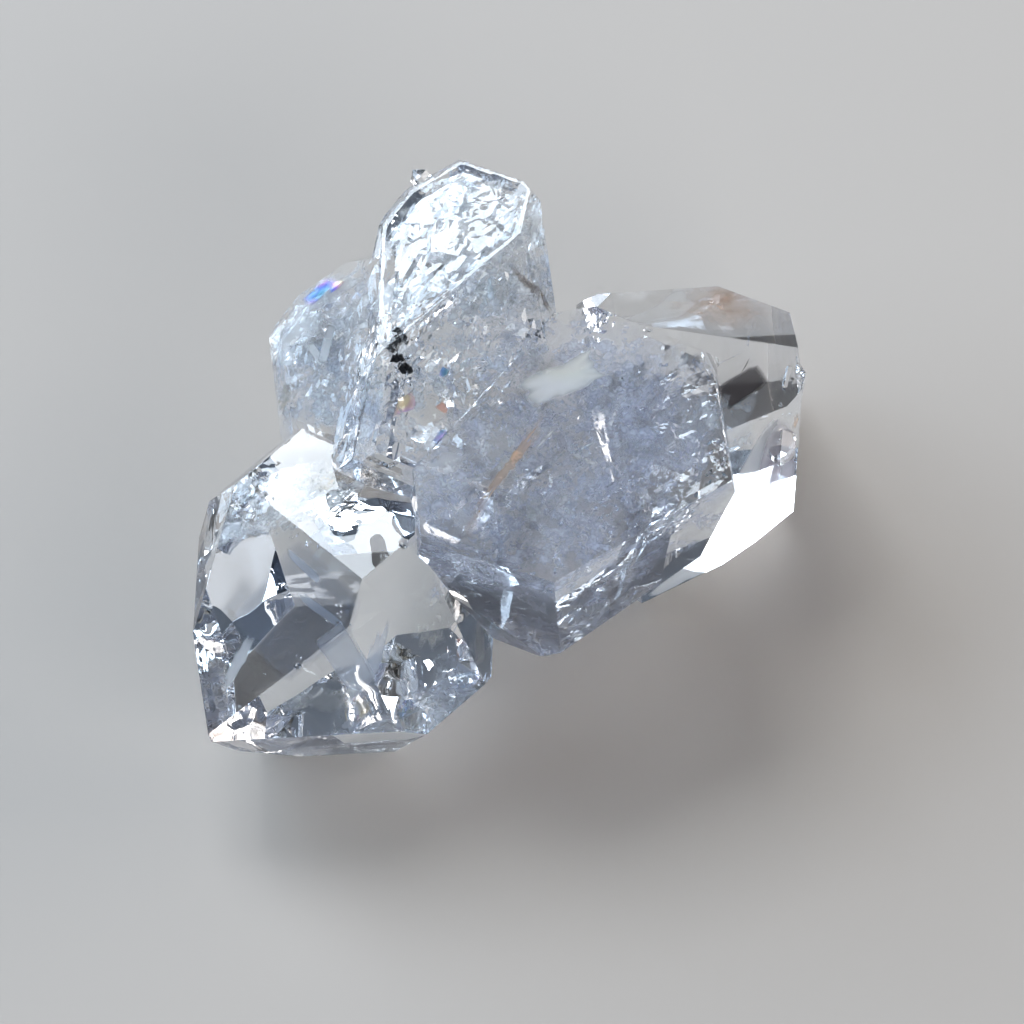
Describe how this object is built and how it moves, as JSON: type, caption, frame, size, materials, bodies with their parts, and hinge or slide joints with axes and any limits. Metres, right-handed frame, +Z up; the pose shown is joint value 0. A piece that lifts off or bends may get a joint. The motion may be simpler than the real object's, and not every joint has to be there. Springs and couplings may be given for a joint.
{
  "type": "herkimer diamond quartz cluster",
  "caption": "Cluster of clear, doubly terminated quartz crystals grown together at odd angles, with one fractured white crystal standing above the others.",
  "frame": {"origin": "middle of the cluster's bounding box footprint, on the plane it rests on", "axes": "+Z up from the resting face, +X along the longer side of the footprint, +Y away from the clear crystal that lies at the front"},
  "size_m": [0.0358, 0.0344, 0.0206],
  "materials": {
    "quartz": "clear natural quartz, glossy on whole faces, broken and etched in places"
  },
  "bodies": {
    "root": {"quartz_cluster": "quartz"}
  },
  "joints": []
}
